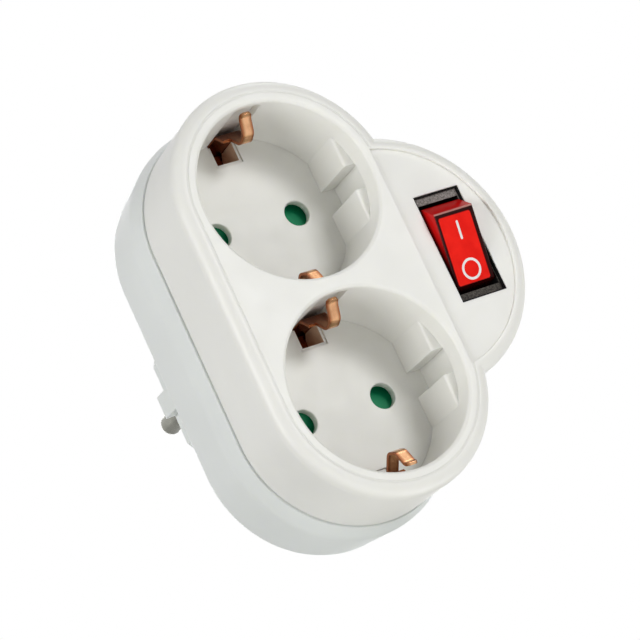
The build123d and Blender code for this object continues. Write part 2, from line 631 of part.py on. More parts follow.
# Shutters with their springs and plates
half_angle = math.radians(SHUTTER_HALF_ANGLE)
blade_x = SHUTTER_REACH * math.cos(half_angle)
blade_z = SHUTTER_REACH * math.sin(half_angle)
for well, z in WELLS:
    with BuildPart() as shutter:
        with BuildSketch(at(SHUTTER_BACK, 0, z)):
            Circle(SHUTTER_REACH)
            for hand in (1, -1):
                Polygon((0, 0), (2 * hand * blade_x, 2 * hand * blade_z), (0, 6 * hand * SHUTTER_REACH),
                        (-2 * hand * blade_x, 2 * hand * blade_z), align=None, mode=Mode.SUBTRACT)
            Circle(SHUTTER_HUB)
        extrude(amount=SHUTTER_THICKNESS)
        # slopes that the pins press on, so that they turn the shutter aside
        for hand in (1, -1):
            with BuildSketch(side(hand * (SHUTTER_HUB + 1.0), z, hand)):
                Polygon((5.0, SHUTTER_FRONT), (5.0, SHUTTER_FRONT + 2.2), (-3.4, SHUTTER_FRONT), align=None)
            extrude(amount=-SHUTTER_REACH, mode=Mode.SUBTRACT)
        with BuildSketch(at(SHUTTER_BACK, 0, z)):
            Circle(SHUTTER_PIVOT + SHUTTER_PLAY)
        extrude(amount=SHUTTER_THICKNESS, mode=Mode.SUBTRACT)
        # seat of the spring, with a slot for its leg
        with BuildSketch(at(SHUTTER_BACK, 0, z)):
            Circle(SPRING_RADIUS + SPRING_WIRE + 0.3)
            with Locations((-SHUTTER_HUB / 2, SPRING_RADIUS)):
                Rectangle(SHUTTER_HUB, 2 * SPRING_WIRE + 0.1)
        extrude(amount=SHUTTER_BACK - SPRING_SEAT, mode=Mode.SUBTRACT)
    shutter.part.label = f"shutter_{well}"
    export_step(shutter.part, f"parts/shutter_{well}.step")

    coil_depth = SPRING_SEAT + SPRING_WIRE
    with BuildPart() as shutter_spring:
        with BuildLine() as coil:
            Helix(pitch=0.55, height=1.1, radius=SPRING_RADIUS,
                  center=(0, coil_depth - PLUG_FACE, z), direction=(0, 1, 0))
        with BuildSketch(Plane(origin=coil.line @ 0, z_dir=coil.line % 0)):
            Circle(SPRING_WIRE)
        sweep()
        with BuildSketch(Plane(origin=coil.line @ 0, x_dir=(0, 0, 1), z_dir=(-1, 0, 0))):
            Circle(SPRING_WIRE)
        extrude(amount=SPRING_RADIUS)
    shutter_spring.part.label = f"shutter_spring_{well}"
    export_step(shutter_spring.part, f"parts/shutter_spring_{well}.step")

    with BuildPart() as shutter_plate:
        with BuildSketch(at(PLATE_BACK, 0, z)):
            SlotOverall(2 * (SHUTTER_POST_Z + PLATE_END), PLATE_WIDTH, rotation=90)
            Circle(PIVOT_STUB, mode=Mode.SUBTRACT)
            with Locations((0, SHUTTER_POST_Z), (0, -SHUTTER_POST_Z)):
                Circle(POST_STUB, mode=Mode.SUBTRACT)
        extrude(amount=SHUTTER_PLATE)
    shutter_plate.part.label = f"shutter_plate_{well}"
    export_step(shutter_plate.part, f"parts/shutter_plate_{well}.step")

# Switch housing
with BuildPart() as switch_housing:
    with BuildSketch(at(SWITCH_BODY_DEPTH, SWITCH_X)):
        Rectangle(SWITCH_WIDTH + 1.4, SWITCH_HEIGHT + 0.6)
    extrude(amount=SWITCH_BODY_DEPTH - FACE_BACK)
    with BuildSketch(at(FACE_BACK + 1.4, SWITCH_X)):
        Rectangle(SWITCH_WIDTH + 2.6, SWITCH_HEIGHT + 2.4)
    extrude(amount=1.4)
    with BuildSketch(at(FACE_BACK, SWITCH_X)):
        Rectangle(SWITCH_WIDTH - 2 * BEZEL_PLAY, SWITCH_HEIGHT - 2 * BEZEL_PLAY)
    extrude(amount=FACE_BACK - BEZEL_FRONT)
    with BuildSketch(at(BEZEL_FRONT + BEZEL_RECESS, SWITCH_X)):
        Rectangle(SWITCH_WIDTH - 2 * BEZEL_RIM, SWITCH_HEIGHT - 2 * BEZEL_RIM)
    extrude(amount=BEZEL_RECESS, mode=Mode.SUBTRACT)
    with BuildSketch(at(SWITCH_FLOOR, SWITCH_X)):
        Rectangle(2 * OPENING_HALF_WIDTH, 2 * OPENING_HALF_HEIGHT)
    extrude(amount=SWITCH_FLOOR, mode=Mode.SUBTRACT)
    hinge_place = (SWITCH_X, ROCKER_PIVOT_DEPTH - PLUG_FACE, 0)
    with BuildSketch(Plane(origin=hinge_place, x_dir=(0, 0, 1), z_dir=(1, 0, 0))):
        Circle(TRUNNION_RADIUS + 0.08)
    extrude(amount=SWITCH_WIDTH, both=True, mode=Mode.SUBTRACT)
    with BuildSketch(at(SWITCH_BODY_DEPTH, SWITCH_X)):
        with Locations((0, -TERMINAL_PITCH), (0, 0), (0, TERMINAL_PITCH)):
            Rectangle(4.8, BAR_THICKNESS)
    extrude(amount=1.5, mode=Mode.SUBTRACT)
switch_housing.part.label = "switch_housing"
export_step(switch_housing.part, "parts/switch_housing.step")

# Rocker, drawn on its own tilted plane: its x runs along the face towards the raised end, its y outwards
tilt = math.radians(ROCKER_TILT)
along = (0, -math.sin(tilt), math.cos(tilt))
outward = (0, -math.cos(tilt), -math.sin(tilt))
pivot = (SWITCH_X, ROCKER_PIVOT_DEPTH - PLUG_FACE, 0)


def rocker_plane(height):
    """Sketch plane across the rocker's plunger axis at a height above its pivot."""
    origin = tuple(p + height * o for p, o in zip(pivot, outward))
    return Plane(origin=origin, x_dir=(1, 0, 0), z_dir=outward)


section = Plane(origin=pivot, x_dir=along, z_dir=(1, 0, 0))
with BuildPart() as rocker:
    with BuildSketch(section):
        Polygon((-ROCKER_TOP_HALF, ROCKER_FACE), (ROCKER_TOP_HALF, ROCKER_FACE),
                (ROCKER_BASE_HALF, ROCKER_BASE), (5.0, ROCKER_SKIRT),
                (-5.0, ROCKER_SKIRT), (-ROCKER_BASE_HALF, ROCKER_BASE), align=None)
    extrude(amount=ROCKER_HALF_WIDTH, both=True)
    fillet(rocker.faces().sort_by(Axis(pivot, outward))[-1].edges(), ROCKER_ROUND)
    with BuildSketch(section):
        Polygon((1.1 - ROCKER_TOP_HALF, ROCKER_FACE - ROCKER_SKIN),
                (ROCKER_TOP_HALF - 1.1, ROCKER_FACE - ROCKER_SKIN),
                (ROCKER_BASE_HALF - 1.3, ROCKER_BASE), (4.6, ROCKER_SKIRT - 0.1),
                (-4.6, ROCKER_SKIRT - 0.1), (1.3 - ROCKER_BASE_HALF, ROCKER_BASE), align=None)
    extrude(amount=ROCKER_HALF_WIDTH - 1.0, both=True, mode=Mode.SUBTRACT)
    with BuildSketch(rocker_plane(TUBE_END)):
        Circle(BORE_RADIUS + 0.7)
    extrude(amount=ROCKER_FACE - ROCKER_SKIN - TUBE_END)
    with BuildSketch(rocker_plane(TUBE_END)):
        Circle(BORE_RADIUS)
    extrude(amount=SPRING_TOP - TUBE_END, mode=Mode.SUBTRACT)
    with BuildSketch(section):
        Circle(TRUNNION_RADIUS)
    extrude(amount=ROCKER_HALF_WIDTH + 0.9, both=True)
    with BuildSketch(section):
        Circle(TRUNNION_RADIUS + 0.1)
    extrude(amount=ROCKER_HALF_WIDTH - 1.0, both=True, mode=Mode.SUBTRACT)
rocker.part.label = "rocker"
export_step(rocker.part, "parts/rocker.step")

with BuildPart() as rocker_plunger:
    with BuildSketch(rocker_plane(PLUNGER_TIP)):
        Circle(BORE_RADIUS - 0.05)
    extrude(amount=SPRING_END - PLUNGER_TIP)
    fillet(rocker_plunger.faces().sort_by(Axis.Y)[-1].edges(), 1.1)
rocker_plunger.part.label = "rocker_plunger"
export_step(rocker_plunger.part, "parts/rocker_plunger.step")

with BuildPart() as rocker_spring:
    with BuildLine() as coil:
        Helix(pitch=COIL_HEIGHT / 5, height=COIL_HEIGHT, radius=BORE_RADIUS - COIL_WIRE - 0.1,
              center=rocker_plane(SPRING_END + COIL_WIRE).origin, direction=outward)
    with BuildSketch(Plane(origin=coil.line @ 0, z_dir=coil.line % 0)):
        Circle(COIL_WIRE)
    sweep()
rocker_spring.part.label = "rocker_spring"
export_step(rocker_spring.part, "parts/rocker_spring.step")

# Neon lamp and resistor behind the rocker's face
lamp_pieces = (("neon_lamp", LAMP_OFFSET, 1.5, 5.6), ("lamp_resistor", -LAMP_OFFSET, 1.1, 5.2))
for name, place, radius, length in lamp_pieces:
    height = ROCKER_FACE - ROCKER_SKIN - radius
    centre = tuple(p + place * a + height * o for p, a, o in zip(pivot, along, outward))
    with BuildPart() as lamp_piece:
        with BuildSketch(Plane(origin=centre, x_dir=along, z_dir=(1, 0, 0))):
            Circle(radius)
        extrude(amount=length / 2, both=True)
        fillet(lamp_piece.edges().filter_by(GeomType.CIRCLE), radius * 0.6)
    lamp_piece.part.label = name
    export_step(lamp_piece.part, f"parts/{name}.step")

# Tilting contact lever and the three terminals
lever_turn = math.radians(LEVER_TILT)
lever_plane = Plane(origin=(SWITCH_X, LEVER_AXIS - PLUG_FACE, 0),
                    x_dir=(0, math.sin(lever_turn), math.cos(lever_turn)), z_dir=(-1, 0, 0))
lever_path = [(-LEVER_REACH, -LEVER_RISE), (-LEVER_VEE, -LEVER_RISE), (0, 0),
              (LEVER_VEE, -LEVER_RISE), (LEVER_REACH, -LEVER_RISE)]
with BuildPart() as contact_lever:
    with BuildSketch(lever_plane):
        Polygon(*strip_outline(lever_path, -LEVER_THICKNESS), align=None)
        Circle(KNIFE_RADIUS)
    extrude(amount=2.2, both=True)
contact_lever.part.label = "contact_lever"
export_step(contact_lever.part, "parts/contact_lever.step")

TERMINAL_TOPS = (
    ("terminal_line", -TERMINAL_PITCH, LEVER_AXIS + 1.0),
    ("terminal_load", 0, LEVER_AXIS + KNIFE_RADIUS / 2),
    ("terminal_lamp", TERMINAL_PITCH, LEVER_AXIS + 1.9),
)
for name, z, top in TERMINAL_TOPS:
    with BuildPart() as terminal:
        with BuildSketch(at(TERMINAL_END, SWITCH_X, z)):
            Rectangle(TERMINAL_WIDTH, BAR_THICKNESS)
        extrude(amount=TERMINAL_END - top)
        if name == "terminal_line":
            with BuildSketch(at(top, SWITCH_X, z)):
                Rectangle(TERMINAL_WIDTH, 3.0)
            extrude(amount=0.5)
            with BuildSketch(at(top - 0.5, SWITCH_X, z)):
                Circle(1.2)
            extrude(amount=0.3)
        if name == "terminal_load":
            with BuildSketch(lever_plane):
                Circle(KNIFE_RADIUS + KNIFE_PLAY)
            extrude(amount=TERMINAL_WIDTH, both=True, mode=Mode.SUBTRACT)
    terminal.part.label = name
    export_step(terminal.part, f"parts/{name}.step")

# Wires


def wire(points, bend):
    """Round wire along straight runs between (x, depth, z) points, with arcs of one radius at the corners."""
    places = [(x, depth - PLUG_FACE, z) for x, depth, z in points]
    with BuildPart() as solid:
        with BuildLine() as path:
            FilletPolyline(*places, radius=bend)
        with BuildSketch(Plane(origin=path.line @ 0, z_dir=path.line % 0)):
            Circle(WIRE_RADIUS)
        sweep()
    return solid.part


wire_depth = BASE_FLOOR - WIRE_RADIUS - 0.6
wires = {
    "wire_line": wire([
        (PIN_X, LIVE_TAIL + 3.0, 0),
        (PIN_X, wire_depth, 0),
        (PIN_X + 8.0, wire_depth, -1.5),
        (SWITCH_X, wire_depth, -TERMINAL_PITCH),
        (SWITCH_X, TERMINAL_END, -TERMINAL_PITCH),
    ], 2.6),
    "wire_load": wire([
        (SWITCH_X, TERMINAL_END, 0),
        (SWITCH_X, PHASE_BAR_MIDDLE, 0),
        (PIN_X + PHASE_BAR_HALF_WIDTH + TAB_REACH + 5.0, PHASE_BAR_MIDDLE, TAB_Z["live_bar"]),
        (PIN_X + PHASE_BAR_HALF_WIDTH + TAB_REACH, PHASE_BAR_MIDDLE, TAB_Z["live_bar"]),
    ], 2.2),
    "wire_lamp": wire([
        (SWITCH_X, TERMINAL_END, TERMINAL_PITCH),
        (SWITCH_X, wire_depth, TERMINAL_PITCH),
        (SWITCH_X - 8.5, wire_depth, TERMINAL_PITCH + 1.0),
        (SWITCH_X - 13.5, wire_depth, TAB_Z["neutral_bar"]),
        (1.6, wire_depth, TAB_Z["neutral_bar"]),
        (-1.4, PHASE_BAR_MIDDLE, TAB_Z["neutral_bar"]),
        (PHASE_BAR_HALF_WIDTH + TAB_REACH - PIN_X, PHASE_BAR_MIDDLE, TAB_Z["neutral_bar"]),
    ], 1.5),
}
for name, solid in wires.items():
    solid.label = name
    export_step(solid, f"parts/{name}.step")
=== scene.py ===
import json
import math

import bmesh
import bpy
from mathutils import Matrix, Vector


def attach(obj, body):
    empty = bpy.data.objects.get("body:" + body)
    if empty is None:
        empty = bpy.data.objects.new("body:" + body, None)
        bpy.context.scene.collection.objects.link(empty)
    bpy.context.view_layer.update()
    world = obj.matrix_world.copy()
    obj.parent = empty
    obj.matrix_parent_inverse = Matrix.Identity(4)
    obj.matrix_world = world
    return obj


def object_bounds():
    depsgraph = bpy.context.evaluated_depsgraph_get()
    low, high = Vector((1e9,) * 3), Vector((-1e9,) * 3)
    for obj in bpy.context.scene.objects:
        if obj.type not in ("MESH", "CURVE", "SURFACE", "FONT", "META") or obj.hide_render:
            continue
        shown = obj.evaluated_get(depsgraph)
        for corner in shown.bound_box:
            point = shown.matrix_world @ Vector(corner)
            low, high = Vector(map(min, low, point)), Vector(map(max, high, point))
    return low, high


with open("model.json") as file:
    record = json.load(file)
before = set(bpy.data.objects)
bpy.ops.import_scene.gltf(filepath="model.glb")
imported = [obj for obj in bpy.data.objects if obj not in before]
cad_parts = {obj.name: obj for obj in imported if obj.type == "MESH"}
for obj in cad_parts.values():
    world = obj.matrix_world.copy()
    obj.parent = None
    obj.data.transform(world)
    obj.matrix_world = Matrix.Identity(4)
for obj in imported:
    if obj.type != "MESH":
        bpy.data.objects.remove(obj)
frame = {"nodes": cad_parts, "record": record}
cad_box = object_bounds()

MM = 0.001
ORIGIN = Vector((0, 0, 0))
ACROSS = Vector((1, 0, 0))
INWARD = Vector((0, 1, 0))
UPWARD = Vector((0, 0, 1))

# Sizes of the part that the looks need, in millimetres, in the part's own frame
PLUG_FACE = 56.2
SWITCH_X = 31.2
ROCKER_PIVOT_DEPTH = 4.1
ROCKER_FACE = 4.9
ROCKER_TOP_HALF = 7.7
BEZEL_FLOOR_DEPTH = 1.35
STRIP_HALF_WIDTH = 1.3

# Tilt of the rocker at rest, in degrees
ROCKER_TILT = 14.7

# Marks printed on the rocker: place along the face from its middle and sizes in millimetres, and points
LINE_MARK_PLACE = 3.5
LINE_MARK_LENGTH = 4.0
RING_MARK_PLACE = -4.75
RING_MARK_RADIUS = 2.0
MARK_STROKE = 0.52
MARK_HEIGHT = 0.04
MARK_SHIFT = -0.2
RING_POINTS = 72
BAR_END_STEPS = 10

# Red plate that shows through the rocker's face: place from the face's middle and sizes, in millimetres
PLATE_SHIFT = -0.35
PLATE_HALF_WIDTH = 3.9
PLATE_TOP = 6.75
PLATE_BOTTOM = -7.5
PLATE_CORNER = 0.45
PLATE_EDGE_INSIDE = 0.1
PLATE_EDGE_OUTSIDE = 0.15

# Where the rocker's tones change, in millimetres: below its face, the painted highlight below its raised end,
# and the painted shade on its sides from its middle
FACE_SKIN = (0.6, 0.2)
HIGHLIGHT_BAND = (0.22, 0.14)
SIDE_SHADE_FADE = (-5.0, 6.0)

# Where other tones change, in millimetres: the copper's painted shade below the front face, and the bezel
# floor's painted light and shade along its length
COPPER_SHADE_FADE = (5.5, 13.5)
BEZEL_LIGHT_FADE = (-10.0, 10.0)

# Share of a strip's half width where its painted edge shade starts, and the normal's y below which a face is a
# front
STRIP_EDGE_SHADE_START = 0.3
FRONT_NORMAL = -0.7

# Camera, solved from the photograph: place in millimetres, directions as unit vectors, clip in metres
CAMERA_PLACE = (-262.93, -497.06, -119.16)
CAMERA_RIGHT = (0.8291, -0.3766, -0.4131)
CAMERA_UP = (0.2675, -0.3817, 0.8847)
CAMERA_FORWARD = (0.4909, 0.8441, 0.2157)
FOCAL_PIXELS = 2678.3
IMAGE_PIXELS = 640
SENSOR = 36.0
CLIP_NEAR = 0.01
CLIP_FAR = 50.0

# Colours
WHITE = (0.862, 0.861, 0.820)
# A cooler, greyer copy of the cover's white for the base, which is the same plastic: the greyness is painted
# shade
COOL_SHADED_WHITE = (0.805, 0.832, 0.812)
PRINT_WHITE = (0.86, 0.85, 0.84)
SHUTTER_GREEN = (0.002, 0.31, 0.13)
NATURAL = (0.62, 0.61, 0.57)
LACQUER = (0.42, 0.28, 0.16)
WIRE_BROWN = (0.12, 0.045, 0.02)
WIRE_BLUE = (0.03, 0.09, 0.32)
BRASS = (0.80, 0.60, 0.28)
BRASS_TARNISH = (0.55, 0.38, 0.15)
# Nickel darkened to a dull grey as painted shade; the pins are bright nickel
SHADED_NICKEL = (0.30, 0.30, 0.26)
STEEL = (0.55, 0.55, 0.56)
# Painted shade along the copper strip's edges
COPPER_EDGE_SHADE = (0.40, 0.14, 0.06)
ROCKER_BORDER = (0.022, 0.001, 0.001)
# Painted highlight: a light line along the rocker's raised end
ROCKER_PAINTED_HIGHLIGHT = (0.50, 0.20, 0.17)
# Rocker sides: painted shade towards the sunk end, lit red towards the raised end
ROCKER_SIDE_SHADE = (0.05, 0.002, 0.002)
ROCKER_SIDE_LIT = (0.52, 0.006, 0.006)

# Colours over a noise: place along the noise, and the colour there
# Copper: a lit tone, and a dark brown painted shade for deep in the wells
COPPER_LIT = [(0.30, (0.76, 0.38, 0.19)), (0.60, (0.95, 0.55, 0.30))]
COPPER_PAINTED_SHADE = [(0.30, (0.16, 0.040, 0.012)), (0.65, (0.36, 0.11, 0.035))]
# Painted copper reflection and shade for the inside of the pocket sleeves
SLEEVE_COPPER_REFLECTION = [(0.3, (0.85, 0.63, 0.45)), (0.7, (0.97, 0.74, 0.54))]
# Bezel floor greys: painted light for its upper end, painted shade for its lower end
BEZEL_LIT_GREY = [(0.3, (0.07, 0.065, 0.060)), (0.5, (0.26, 0.24, 0.225)), (0.72, (0.52, 0.49, 0.46))]
BEZEL_SHADED_GREY = [(0.3, (0.022, 0.020, 0.018)), (0.5, (0.070, 0.062, 0.054)), (0.72, (0.16, 0.145, 0.128))]
BEZEL_BLACK = [(0.3, (0.003, 0.003, 0.003)), (0.7, (0.008, 0.008, 0.008))]
ROCKER_RED = [(0.3, (0.82, 0.008, 0.004)), (0.7, (0.95, 0.016, 0.008))]
LAMP_TINT = [(0.3, (0.95, 0.66, 0.5)), (0.7, (1.0, 0.78, 0.62))]

# Surfaces: light inside pale plastic, height of a grain in millimetres, spread of gloss, rocker's roughness
SUBSURFACE_WEIGHT = 0.6
SUBSURFACE_RADIUS = (1.0, 1.0, 0.9)
FINE_RELIEF = 0.02
COARSE_RELIEF = 0.04
PLASTIC_GLOSS_SPREAD = 0.05
STRIP_SMOOTHER = 0.08
STRIP_ROUGHER = 0.1
ROCKER_ROUGHNESS = 0.15
PLATE_ADDED_ROUGHNESS = 0.35
EDGE_SAMPLES = 6

# Floor: half its side and its fade from the part outwards in metres, gap under the part in millimetres, tones
FLOOR_SIZE = 3.0
FLOOR_FADE = (0.12, 0.6)
FLOOR_GAP = 0.3
FLOOR_TONE = (0.60, 0.60, 0.59)
FLOOR_SHOWN = [(0.5, 0.5, 0.5), (0.0, 0.0, 0.0)]
FLOOR_GLOW = [(0.42, 0.42, 0.42), (1.0, 1.0, 1.0)]

# World: its light on the part, and the white that is shown behind it
WORLD_LIGHT = 0.15
SHOWN_WHITE = 1.0

# Lamps: place from the part's middle and side of the square in metres, and power in watts
LAMPS = {
    "key_light": ((0.36, -0.91, 0.21), 0.32, 3.4),
    "left_light": ((-0.94, -0.32, 0.06), 0.45, 5.3),
    "low_light": ((-0.30, -0.60, -0.72), 0.5, 1.5),
    "low_right_light": ((0.45, -0.20, -0.87), 0.5, 2.8),
    "top_light": ((0.55, 0.0, 0.83), 0.5, 2.2),
    "back_light": ((0.42, 0.90, 0.15), 0.6, 5.0),
}


# Node helpers
def in_metres(values):
    return [value * MM for value in values]


def shade(colour, factor):
    return tuple(c * factor for c in colour)


def new_material(name):
    """Empty node material with its output and its shader."""
    material = bpy.data.materials.new(name)
    material.use_nodes = True
    tree = material.node_tree
    tree.nodes.clear()
    output = tree.nodes.new("ShaderNodeOutputMaterial")
    shader = tree.nodes.new("ShaderNodeBsdfPrincipled")
    tree.links.new(shader.outputs["BSDF"], output.inputs["Surface"])
    return material, tree, shader


def noise(tree, scale, detail, stretch=(1.0, 1.0, 1.0), roughness=0.5):
    """Noise texture on the part's own coordinates."""
    coordinates = tree.nodes.new("ShaderNodeTexCoord")
    mapping = tree.nodes.new("ShaderNodeMapping")
    mapping.inputs["Scale"].default_value = stretch
    texture = tree.nodes.new("ShaderNodeTexNoise")
    texture.inputs["Scale"].default_value = scale
    texture.inputs["Detail"].default_value = detail
    texture.inputs["Roughness"].default_value = roughness
    tree.links.new(coordinates.outputs["Object"], mapping.inputs["Vector"])
    tree.links.new(mapping.outputs["Vector"], texture.inputs["Vector"])
    return texture.outputs["Fac"]


def ramp(tree, value, stops):
    """Colour ramp over a value, from (place, colour) stops."""
    node = tree.nodes.new("ShaderNodeValToRGB")
    elements = node.color_ramp.elements
    while len(elements) < len(stops):
        elements.new(0.5)
    for element, (place, colour) in zip(elements, stops):
        element.position = place
        element.color = (*colour, 1.0)
    tree.links.new(value, node.inputs["Fac"])
    return node.outputs["Color"]


def spread(tree, value, low, high):
    """The middle part of a noise, stretched to a range."""
    node = tree.nodes.new("ShaderNodeMapRange")
    node.inputs["From Min"].default_value = 0.3
    node.inputs["From Max"].default_value = 0.7
    node.inputs["To Min"].default_value = low
    node.inputs["To Max"].default_value = high
    tree.links.new(value, node.inputs["Value"])
    return node.outputs["Result"]


def step_up(tree, value, low, high):
    """0 below one number, 1 above another, with a soft change between them."""
    node = tree.nodes.new("ShaderNodeMapRange")
    node.interpolation_type = "SMOOTHSTEP"
    node.inputs["From Min"].default_value = low
    node.inputs["From Max"].default_value = high
    tree.links.new(value, node.inputs["Value"])
    return node.outputs["Result"]


def math_node(tree, operation, first, second=None):
    """Math on a socket or number, with a socket or number."""
    node = tree.nodes.new("ShaderNodeMath")
    node.operation = operation
    for slot, value in enumerate((first, second)):
        if isinstance(value, (int, float)):
            node.inputs[slot].default_value = value
        elif value is not None:
            tree.links.new(value, node.inputs[slot])
    return node.outputs[0]


def blend(tree, factor, first, second):
    """Colour between two colours or sockets."""
    node = tree.nodes.new("ShaderNodeMix")
    node.data_type = "RGBA"
    tree.links.new(factor, node.inputs["Factor"])
    for slot, value in (("A", first), ("B", second)):
        socket = next(s for s in node.inputs if s.name == slot and s.type == "RGBA")
        if isinstance(value, tuple):
            socket.default_value = (*value, 1.0)
        else:
            tree.links.new(value, socket)
    return next(s for s in node.outputs if s.type == "RGBA")


def mix_shaders(tree, factor, first, second):
    node = tree.nodes.new("ShaderNodeMixShader")
    tree.links.new(factor, node.inputs["Fac"])
    tree.links.new(first, node.inputs[1])
    tree.links.new(second, node.inputs[2])
    return node.outputs["Shader"]


def bump(tree, shader, value, strength, relief, edge_round=0.0):
    """Bump from a value, over edges softened by a small radius; relief and radius in millimetres."""
    node = tree.nodes.new("ShaderNodeBump")
    node.inputs["Strength"].default_value = strength
    node.inputs["Distance"].default_value = relief * MM
    tree.links.new(value, node.inputs["Height"])
    if edge_round:
        edge = tree.nodes.new("ShaderNodeBevel")
        edge.samples = EDGE_SAMPLES
        edge.inputs["Radius"].default_value = edge_round * MM
        tree.links.new(edge.outputs["Normal"], node.inputs["Normal"])
    tree.links.new(node.outputs["Normal"], shader.inputs["Normal"])


def along_axis(tree, start, axis):
    """Distance of a surface point from a start along an axis."""
    coordinates = tree.nodes.new("ShaderNodeTexCoord")
    shift = tree.nodes.new("ShaderNodeVectorMath")
    shift.operation = "SUBTRACT"
    shift.inputs[1].default_value = start
    project = tree.nodes.new("ShaderNodeVectorMath")
    project.operation = "DOT_PRODUCT"
    project.inputs[1].default_value = axis
    tree.links.new(coordinates.outputs["Object"], shift.inputs[0])
    tree.links.new(shift.outputs["Vector"], project.inputs[0])
    return project.outputs["Value"]


def depth_below(tree, depth):
    """Distance of a surface point behind a depth under the front face, the depth in millimetres."""
    return along_axis(tree, (depth - PLUG_FACE) * MM * INWARD, INWARD)


def front_mask(tree):
    """1 on faces that look out of the front, else 0."""
    geometry = tree.nodes.new("ShaderNodeNewGeometry")
    facing = tree.nodes.new("ShaderNodeSeparateXYZ")
    tree.links.new(geometry.outputs["True Normal"], facing.inputs["Vector"])
    return math_node(tree, "LESS_THAN", facing.outputs["Y"], FRONT_NORMAL)


def past(tree, value, limit):
    """How far a distance on either side goes past a limit in millimetres, or 0."""
    beyond = math_node(tree, "SUBTRACT", math_node(tree, "ABSOLUTE", value), limit * MM)
    return math_node(tree, "MAXIMUM", beyond, 0.0)


def shown_ray(tree):
    """1 for rays that show the background as it is: camera, glossy and transmission rays."""
    path = tree.nodes.new("ShaderNodeLightPath")
    direct = math_node(tree, "MAXIMUM", path.outputs["Is Camera Ray"], path.outputs["Is Glossy Ray"])
    return math_node(tree, "MAXIMUM", direct, path.outputs["Is Transmission Ray"])


def rocker_axes():
    """Pivot of the rocker and the directions along its face and out of it."""
    tilt = math.radians(ROCKER_TILT)
    pivot = Vector((SWITCH_X, ROCKER_PIVOT_DEPTH - PLUG_FACE, 0)) * MM
    along = Vector((0, -math.sin(tilt), math.cos(tilt)))
    outward = Vector((0, -math.cos(tilt), -math.sin(tilt)))
    return pivot, along, outward


# Materials
def moulded_plastic(name, colour, roughness, grain, edge_round=0.0, depth=0.0):
    """Moulded plastic with faint cloudiness, uneven gloss and a fine grain; light may enter to a depth."""
    material, tree, shader = new_material(name)
    clouds = noise(tree, scale=55.0, detail=4.0)
    tone = ramp(tree, clouds, [(0.3, shade(colour, 0.975)), (0.7, shade(colour, 1.015))])
    tree.links.new(tone, shader.inputs["Base Color"])
    patches = noise(tree, scale=180.0, detail=3.0)
    gloss = spread(tree, patches, roughness - PLASTIC_GLOSS_SPREAD, roughness + PLASTIC_GLOSS_SPREAD)
    tree.links.new(gloss, shader.inputs["Roughness"])
    shader.inputs["IOR"].default_value = 1.5
    if depth:
        shader.inputs["Subsurface Weight"].default_value = SUBSURFACE_WEIGHT
        shader.inputs["Subsurface Radius"].default_value = SUBSURFACE_RADIUS
        shader.inputs["Subsurface Scale"].default_value = depth * MM
    bump(tree, shader, noise(tree, scale=1900.0, detail=2.0), grain, FINE_RELIEF, edge_round)
    return material


def strip_metal(name, colour, dark, roughness, brushing):
    """Stamped and bent strip metal with a tarnish and fine lines from rolling."""
    material, tree, shader = new_material(name)
    tarnish = noise(tree, scale=420.0, detail=5.0, roughness=0.62)
    tone = ramp(tree, tarnish, [(0.32, dark), (0.62, colour), (0.85, shade(colour, 1.08))])
    tree.links.new(tone, shader.inputs["Base Color"])
    shader.inputs["Metallic"].default_value = 1.0
    lines = noise(tree, scale=900.0, detail=3.0, stretch=(4.0, 0.35, 0.35))
    gloss = spread(tree, lines, roughness - STRIP_SMOOTHER, roughness + STRIP_ROUGHER)
    tree.links.new(gloss, shader.inputs["Roughness"])
    bump(tree, shader, lines, brushing, FINE_RELIEF, edge_round=0.12)
    return material


def copper_strip():
    """Bright spring copper with painted shade: dark brown towards the bottom of the wells, and darker along the
    strip's edges round a painted highlight down its middle.
    """
    material, tree, shader = new_material("copper_strip")
    tarnish = noise(tree, scale=420.0, detail=5.0, roughness=0.62)
    from_middle = math_node(tree, "ABSOLUTE", along_axis(tree, ORIGIN, ACROSS))
    # Painted shade along the strip's edges, leaving a painted highlight down its middle
    edge_band = (STRIP_EDGE_SHADE_START * STRIP_HALF_WIDTH, STRIP_HALF_WIDTH)
    edges = step_up(tree, from_middle, *in_metres(edge_band))
    bright = blend(tree, edges, ramp(tree, tarnish, COPPER_LIT), COPPER_EDGE_SHADE)
    dark = ramp(tree, tarnish, COPPER_PAINTED_SHADE)
    # Painted shade: dark brown deeper below the front face, towards the bottom of the wells
    deep = step_up(tree, depth_below(tree, 0.0), *in_metres(COPPER_SHADE_FADE))
    tree.links.new(blend(tree, deep, bright, dark), shader.inputs["Base Color"])
    shader.inputs["Metallic"].default_value = 1.0
    lines = noise(tree, scale=1500.0, detail=2.0, stretch=(3.0, 0.5, 0.5))
    tree.links.new(spread(tree, lines, low=0.16, high=0.26), shader.inputs["Roughness"])
    bump(tree, shader, lines, 0.03, FINE_RELIEF, edge_round=0.12)
    return material


def sleeve_plastic():
    """Sleeve of a clip pocket, painted brown-grey inside as a copper reflection in shade, with a rim as pale as
    the floor round it.
    """
    material, tree, shader = new_material("sleeve_plastic")
    # Painted copper reflection and shade on the sleeve's inner walls
    inside = ramp(tree, noise(tree, scale=160.0, detail=3.0), SLEEVE_COPPER_REFLECTION)
    tree.links.new(blend(tree, front_mask(tree), inside, WHITE), shader.inputs["Base Color"])
    shader.inputs["Roughness"].default_value = 0.5
    bump(tree, shader, noise(tree, scale=1900.0, detail=2.0), 0.12, FINE_RELIEF, edge_round=0.1)
    return material


